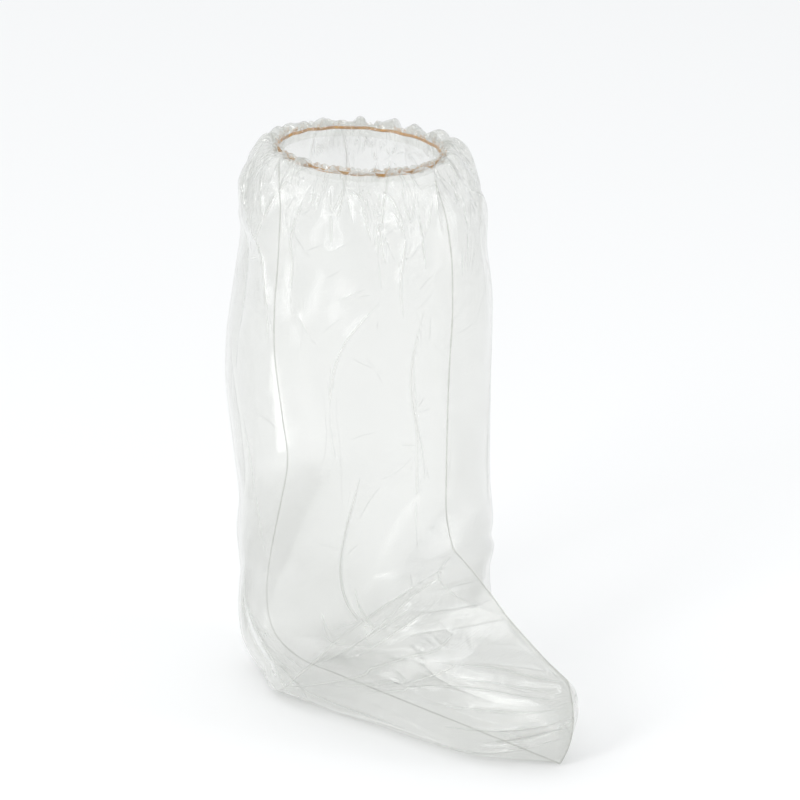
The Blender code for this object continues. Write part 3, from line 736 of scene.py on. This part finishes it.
def film_finish(name, clear_colour, milk, grain):
    """Clear film with a fine diamond grain and a soft gloss, hazier seen edge on, where it lies double and
    where shade is painted.
    """
    made = bpy.data.materials.new(name)
    made.use_nodes = True
    tree = made.node_tree
    tree.nodes.clear()

    def node(kind, **values):
        new = tree.nodes.new(kind)
        for key, value in values.items():
            setattr(new, key, value)
        return new

    def math_node(how, first, second=None):
        new = node("ShaderNodeMath", operation=how)
        for slot, value in enumerate((first, second)):
            if value is None:
                continue
            if isinstance(value, (int, float)):
                new.inputs[slot].default_value = value
            else:
                tree.links.new(value, new.inputs[slot])
        return new.outputs[0]

    place = node("ShaderNodeTexCoord").outputs["Object"]

    # The embossed diamonds: two sets of fine ridges across each other.
    diamonds = None
    for turned in (DIAMOND_TURN, -DIAMOND_TURN):
        wave = node("ShaderNodeTexWave", wave_type="BANDS", bands_direction="Z", wave_profile="SIN")
        wave.inputs["Scale"].default_value = DIAMOND_SCALE
        wave.inputs["Distortion"].default_value = 0.6
        wave.inputs["Detail"].default_value = 0
        laid = node("ShaderNodeMapping")
        laid.inputs["Rotation"].default_value = (turned, turned, 0)
        tree.links.new(place, laid.inputs["Vector"])
        tree.links.new(laid.outputs["Vector"], wave.inputs["Vector"])
        ridges = wave.outputs["Fac"]
        diamonds = ridges if diamonds is None else math_node("MAXIMUM", diamonds, ridges)
    pressed = node("ShaderNodeBump")
    pressed.inputs["Strength"].default_value = grain
    pressed.inputs["Distance"].default_value = DIAMOND_DEPTH
    tree.links.new(diamonds, pressed.inputs["Height"])
    # The creases: sharp bends, raised or sunk by their depth, that die out to both sides.
    beside, depth, layers_and_painted_shade = [
        node("ShaderNodeAttribute", attribute_type="GEOMETRY", attribute_name=mark).outputs["Fac"]
        for mark in ("crease_side", "crease_depth", "layers_and_painted_shade")
    ]
    away = math_node("MULTIPLY", math_node("ABSOLUTE", beside), -1.0)
    bend = math_node("MULTIPLY", math_node("EXPONENT", math_node("DIVIDE", away, CREASE_WIDTH)), depth)
    folded = node("ShaderNodeBump")
    folded.inputs["Strength"].default_value = 1.0
    folded.inputs["Distance"].default_value = CREASE_BEND
    tree.links.new(bend, folded.inputs["Height"])
    tree.links.new(pressed.outputs["Normal"], folded.inputs["Normal"])
    bumped = folded.outputs["Normal"]

    # The haze: uneven from place to place, and thicker where the film is seen edge on.
    patches = node("ShaderNodeTexNoise")
    patches.inputs["Scale"].default_value = HAZE_PATCHES
    patches.inputs["Detail"].default_value = 1
    tree.links.new(place, patches.inputs["Vector"])
    edge_on = node("ShaderNodeLayerWeight")
    edge_on.inputs["Blend"].default_value = 0.5
    straight = math_node("MAXIMUM", math_node("SUBTRACT", 1.0, edge_on.outputs["Facing"]), LEAST_EDGE_ON)
    uneven = math_node("ADD", math_node("MULTIPLY", patches.outputs["Fac"], 0.8), 0.6)
    # Denser where the film lies double and where it is crumpled, and hazier at the heel as painted shade.
    denser_and_shaded = math_node("ADD", math_node("MULTIPLY", layers_and_painted_shade, 0.9), 0.75)
    cloudy = math_node("MULTIPLY", math_node("MULTIPLY", uneven, milk), denser_and_shaded)
    through_film = math_node("EXPONENT", math_node("DIVIDE", math_node("MULTIPLY", cloudy, -1.0), straight))
    # A crease whitens the film along its crest.
    crest = math_node("EXPONENT", math_node("DIVIDE", away, CREST_WIDTH))
    whitened = math_node("MULTIPLY", math_node("MULTIPLY", crest, math_node("ABSOLUTE", depth)), CREST_WHITE)
    haze = math_node("MINIMUM", math_node("ADD", math_node("SUBTRACT", 1.0, through_film), whitened), 1.0)

    clear = node("ShaderNodeBsdfTransparent")
    clear.inputs["Color"].default_value = (*clear_colour, 1)
    milky = node("ShaderNodeBsdfPrincipled")
    milky.inputs["Base Color"].default_value = MILK_COLOUR
    milky.inputs["Roughness"].default_value = 0.42
    milky.inputs["IOR"].default_value = FILM_IOR
    tree.links.new(bumped, milky.inputs["Normal"])
    body = node("ShaderNodeMixShader")
    tree.links.new(haze, body.inputs[0])
    tree.links.new(clear.outputs[0], body.inputs[1])
    tree.links.new(milky.outputs[0], body.inputs[2])

    gloss = node("ShaderNodeBsdfAnisotropic")
    gloss.inputs["Color"].default_value = (1, 1, 1, 1)
    gloss.inputs["Roughness"].default_value = 0.10
    tree.links.new(bumped, gloss.inputs["Normal"])
    sheen = node("ShaderNodeFresnel")
    sheen.inputs["IOR"].default_value = FILM_IOR
    both_faces = math_node("MINIMUM", math_node("MULTIPLY", sheen.outputs[0], GLOSS_GAIN), MOST_GLOSS)
    film = node("ShaderNodeMixShader")
    tree.links.new(both_faces, film.inputs[0])
    tree.links.new(body.outputs[0], film.inputs[1])
    tree.links.new(gloss.outputs[0], film.inputs[2])
    end = node("ShaderNodeOutputMaterial")
    tree.links.new(film.outputs[0], end.inputs["Surface"])
    return made


FILM_CLEAR = (0.956, 0.958, 0.946)
FILM_MILK = 0.085
panel_film = film_finish("embossed_film", FILM_CLEAR, FILM_MILK, 0.8)
panel_places = {}
for name, node_name, side in (("near_film", "right_panel", NEAR), ("far_film", "left_panel", FAR)):
    panel, panel_places[side] = film_panel(name, side)
    panel.data.materials.append(panel_film)
    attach(panel, "root")
    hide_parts(node_name)


# The hem: the top of the bag, folded over a rubber thread and welded down. The thread draws it in to three
# fifths of its width, so the film stands in fine crinkles on both sides of it and as a small frill above.
FRILL_HEIGHT = 0.0042
TAIL_LENGTH = 0.0060
THREAD_THICKNESS = 0.0022
HEM_LAP = 0.0002           # the hem laps over the panels' upper edge
HEM_HALF_COLUMNS = 620
SKIRT_ROWS = 24
SKIRT_PROUD = 0.00012      # the skirt stands this much out of the panels that it laps
EASED_ROWS = 6             # the skirt's last rows, which ease into the tunnel's first
TUNNEL_ROWS = 36
FRILL_STARTS, FRILL_ENDS = 0.42, 0.58      # shares of the tunnel's film, between its outside and its inside
THREAD_ROOM = 0.0004       # between the thread and the film around it
CRINKLE_OUT = 0.0008
FRILL_ROUND = 0.0005       # the frill's rounded edge
FRILL_LEAN = 0.0012
FRILL_SPIKES = 30          # on each half
JOIN_WITHIN = 0.00001      # places of the two halves nearer than this are one


def tunnel_rows(side):
    """Up outside the thread, over the frill and down inside it, in the mouth's tilted plane."""
    smooth = bag_row(0.0, HEM_HALF_COLUMNS)[None]
    world = smooth * (side, 1, 1)
    turn = np.linspace(0, math.pi, HEM_HALF_COLUMNS + 1)
    crinkle = gathered(world, (0.0,), turn[None])[0]
    ragged = cloud(world[0], 0.0065, 81.0)
    spiky = np.abs(np.cos(FRILL_SPIKES * turn + 2.4 * cloud(world[0], 0.020, 25.0)))
    beside = THREAD_THICKNESS / 2 + THREAD_ROOM
    puff = np.maximum(crinkle + CRINKLE_OUT, 0)
    top = FRILL_HEIGHT * (0.85 + 0.28 * ragged + 0.30 * spiky) + 0.5 * crinkle
    rows = []
    for share in np.linspace(0, 1, TUNNEL_ROWS + 1)[1:]:
        if share < FRILL_STARTS:
            climb = share / FRILL_STARTS
            up = top * climb ** 1.2
            out = beside * (1 - 0.5 * climb) + puff * (1 + 0.4 * climb)
        elif share < FRILL_ENDS:
            arc = (share - FRILL_STARTS) / (FRILL_ENDS - FRILL_STARTS) * math.pi
            up = top + FRILL_ROUND * math.sin(arc)
            out = beside * 0.5 * math.cos(arc) + puff * (1.4 - 0.5 * (1 - math.cos(arc)) / 2)
        else:
            drop = (share - FRILL_ENDS) / (1 - FRILL_ENDS)
            inside = min(2 * drop, 1)
            up = top * (1 - drop) - TAIL_LENGTH * drop ** 1.2
            out = -beside * (0.5 + 0.5 * inside) + puff * 0.9 * (1 - inside)
            out = out - 0.6 * np.maximum(-crinkle, 0) * inside
        lean = FRILL_LEAN * ragged * np.clip(up / FRILL_HEIGHT, 0, 1.3)
        radius = MOUTH_RADIUS + out + lean
        forward = radius * np.cos(turn)
        rows.append(np.column_stack((
            side * radius * np.sin(turn),
            -(forward * math.cos(MOUTH_TILT) + up * math.sin(MOUTH_TILT)),
            up * math.cos(MOUTH_TILT) - forward * math.sin(MOUTH_TILT),
        )))
    return np.array(rows)


halves = []
hem_marks = []
for side in (NEAR, FAR):
    lengths = np.linspace(HEM_REACH + HEM_LAP, 0, SKIRT_ROWS)
    marks = film_marks(lengths, HEM_HALF_COLUMNS, side)
    skirt, out = film_places(lengths, HEM_HALF_COLUMNS, side, marks)
    skirt = skirt + SKIRT_PROUD * out
    skirt[:, (0, -1), 0] = 0
    tunnel = tunnel_rows(side)
    # The crinkles run on from the skirt's rows into the tunnel's.
    for k in range(EASED_ROWS):
        mix = (k + 1) / (EASED_ROWS + 1)
        skirt[k - EASED_ROWS] = skirt[k - EASED_ROWS] * (1 - mix) + tunnel[0] * mix
    halves.append(np.concatenate((skirt, tunnel)))
    longer = ((0, TUNNEL_ROWS), (0, 0))
    hem_marks.append({key: np.pad(values, longer, "edge") for key, values in marks.items()})


def joined(near, far):
    """Both halves as one ring, closed at the front line."""
    return np.concatenate((near[:, :-1], far[:, :0:-1], near[:, :1]), axis=1)


ring_marks = {key: joined(hem_marks[0][key], hem_marks[1][key]) for key in hem_marks[0]}
hem = sheet_mesh("gathered_hem", joined(*halves), False, ring_marks)
bpy.ops.object.select_all(action="DESELECT")
bpy.context.view_layer.objects.active = hem
hem.select_set(True)
bpy.ops.object.mode_set(mode="EDIT")
bpy.ops.mesh.select_all(action="SELECT")
bpy.ops.mesh.remove_doubles(threshold=JOIN_WITHIN)
bpy.ops.object.mode_set(mode="OBJECT")
hem.data.materials.append(film_finish("hem_film", FILM_CLEAR, FILM_MILK, 0.6))
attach(hem, "root")
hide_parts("hem")


# The elastic: a natural rubber thread, tan and matt, knotted into a ring and closed into the hem. It lies
# a little wavy where the gathered film pushes it in and out.
THREAD_WAVES = (
    # height, how many round, turned by
    (0.00035, 23, 0.0),
    (0.00025, 9, 1.0),
)
THREAD_LIFT, LIFTS, LIFT_TURNED = 0.00025, 17, 0.4
bpy.ops.object.select_all(action="DESELECT")
bpy.ops.mesh.primitive_torus_add(
    major_radius=MOUTH_RADIUS,
    minor_radius=THREAD_THICKNESS / 2,
    major_segments=288,
    minor_segments=14,
    rotation=(MOUTH_TILT, 0, 0),
)
thread = bpy.context.object
thread.name = "elastic_thread"
bpy.ops.object.transform_apply(location=True, rotation=True, scale=True)
for vertex in thread.data.vertices:
    around = math.atan2(vertex.co.x, vertex.co.y)
    wave = sum(height * math.sin(count * around + turned) for height, count, turned in THREAD_WAVES)
    vertex.co.x *= 1 + wave / MOUTH_RADIUS
    vertex.co.y *= 1 + wave / MOUTH_RADIUS
    vertex.co.z += THREAD_LIFT * math.sin(LIFTS * around + LIFT_TURNED)
thread.data.shade_smooth()
rubber = bpy.data.materials.new("tan_rubber")
rubber.use_nodes = True
tree = rubber.node_tree
coat = tree.nodes["Principled BSDF"]
coat.inputs["Roughness"].default_value = 0.55
coat.inputs["Subsurface Weight"].default_value = 0.15
coat.inputs["Subsurface Scale"].default_value = 0.002
place = tree.nodes.new("ShaderNodeTexCoord")
mottle = tree.nodes.new("ShaderNodeTexNoise")
mottle.inputs["Scale"].default_value = 260
mottle.inputs["Detail"].default_value = 4
tree.links.new(place.outputs["Object"], mottle.inputs["Vector"])
tans = tree.nodes.new("ShaderNodeValToRGB")
tans.color_ramp.elements[0].position = 0.35
tans.color_ramp.elements[0].color = (0.46, 0.23, 0.065, 1)
tans.color_ramp.elements[1].position = 0.68
tans.color_ramp.elements[1].color = (0.68, 0.40, 0.15, 1)
tree.links.new(mottle.outputs["Fac"], tans.inputs["Fac"])
tree.links.new(tans.outputs["Color"], coat.inputs["Base Color"])
pits = tree.nodes.new("ShaderNodeBump")
pits.inputs["Strength"].default_value = 0.4
pits.inputs["Distance"].default_value = 0.0002
tree.links.new(mottle.outputs["Fac"], pits.inputs["Height"])
tree.links.new(pits.outputs["Normal"], coat.inputs["Normal"])
thread.data.materials.append(rubber)
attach(thread, "root")
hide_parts("elastic_band")


# The welds: the panels' edges, melted together and cut off by the same hot wire. They stand as a thin,
# glossy and slightly puckered bead, down the front and round the toe, and under the sole and up the back.
BEAD_THICKNESS = 0.0010
BEAD_PUCKER = 0.22         # how far its thickness wanders, as a share


def bead(name, line):
    """A round bead along a line of places, made as a curve and turned into a mesh."""
    path = bpy.data.curves.new(name, "CURVE")
    path.dimensions = "3D"
    path.bevel_depth = BEAD_THICKNESS / 2
    path.bevel_resolution = 2
    path.use_fill_caps = True
    spline = path.splines.new("POLY")
    spline.points.add(len(line) - 1)
    for k, (point, at) in enumerate(zip(spline.points, line)):
        point.co = (*at, 1)
        point.radius = 1 + BEAD_PUCKER * math.sin(0.9 * k) * math.sin(0.37 * k + 1)
    made = bpy.data.objects.new(name, path)
    bpy.context.scene.collection.objects.link(made)
    bpy.ops.object.select_all(action="DESELECT")
    bpy.context.view_layer.objects.active = made
    made.select_set(True)
    bpy.ops.object.convert(target="MESH")
    made = bpy.context.object
    made.data.shade_smooth()
    return made


def weld_line(column):
    """The middle of both panels' edges."""
    return (panel_places[NEAR][:, column] + panel_places[FAR][:, column]) / 2


front_edges = weld_line(0)
back_edges = weld_line(-1)
# The front bead runs on round the toe's edge and stops just short of the back bead.
toe = (panel_places[NEAR][-1] + panel_places[FAR][-1]) / 2
front = np.vstack((front_edges[:-1], toe[:-4:2]))
# The beads' film is darker and hazier than the panels': partly the thicker melted plastic, and partly painted
# shade for the dark lines that a round bead shows as it bends the light through it.
weld_film = film_finish("weld_film", (0.90, 0.902, 0.88), 0.20, 0.1)
for name, node_name, line in (("front_bead", "front_weld", front), ("back_bead", "back_weld", back_edges)):
    piece = bead(name, line[::2])
    piece.data.materials.append(weld_film)
    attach(piece, "root")
    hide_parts(node_name)
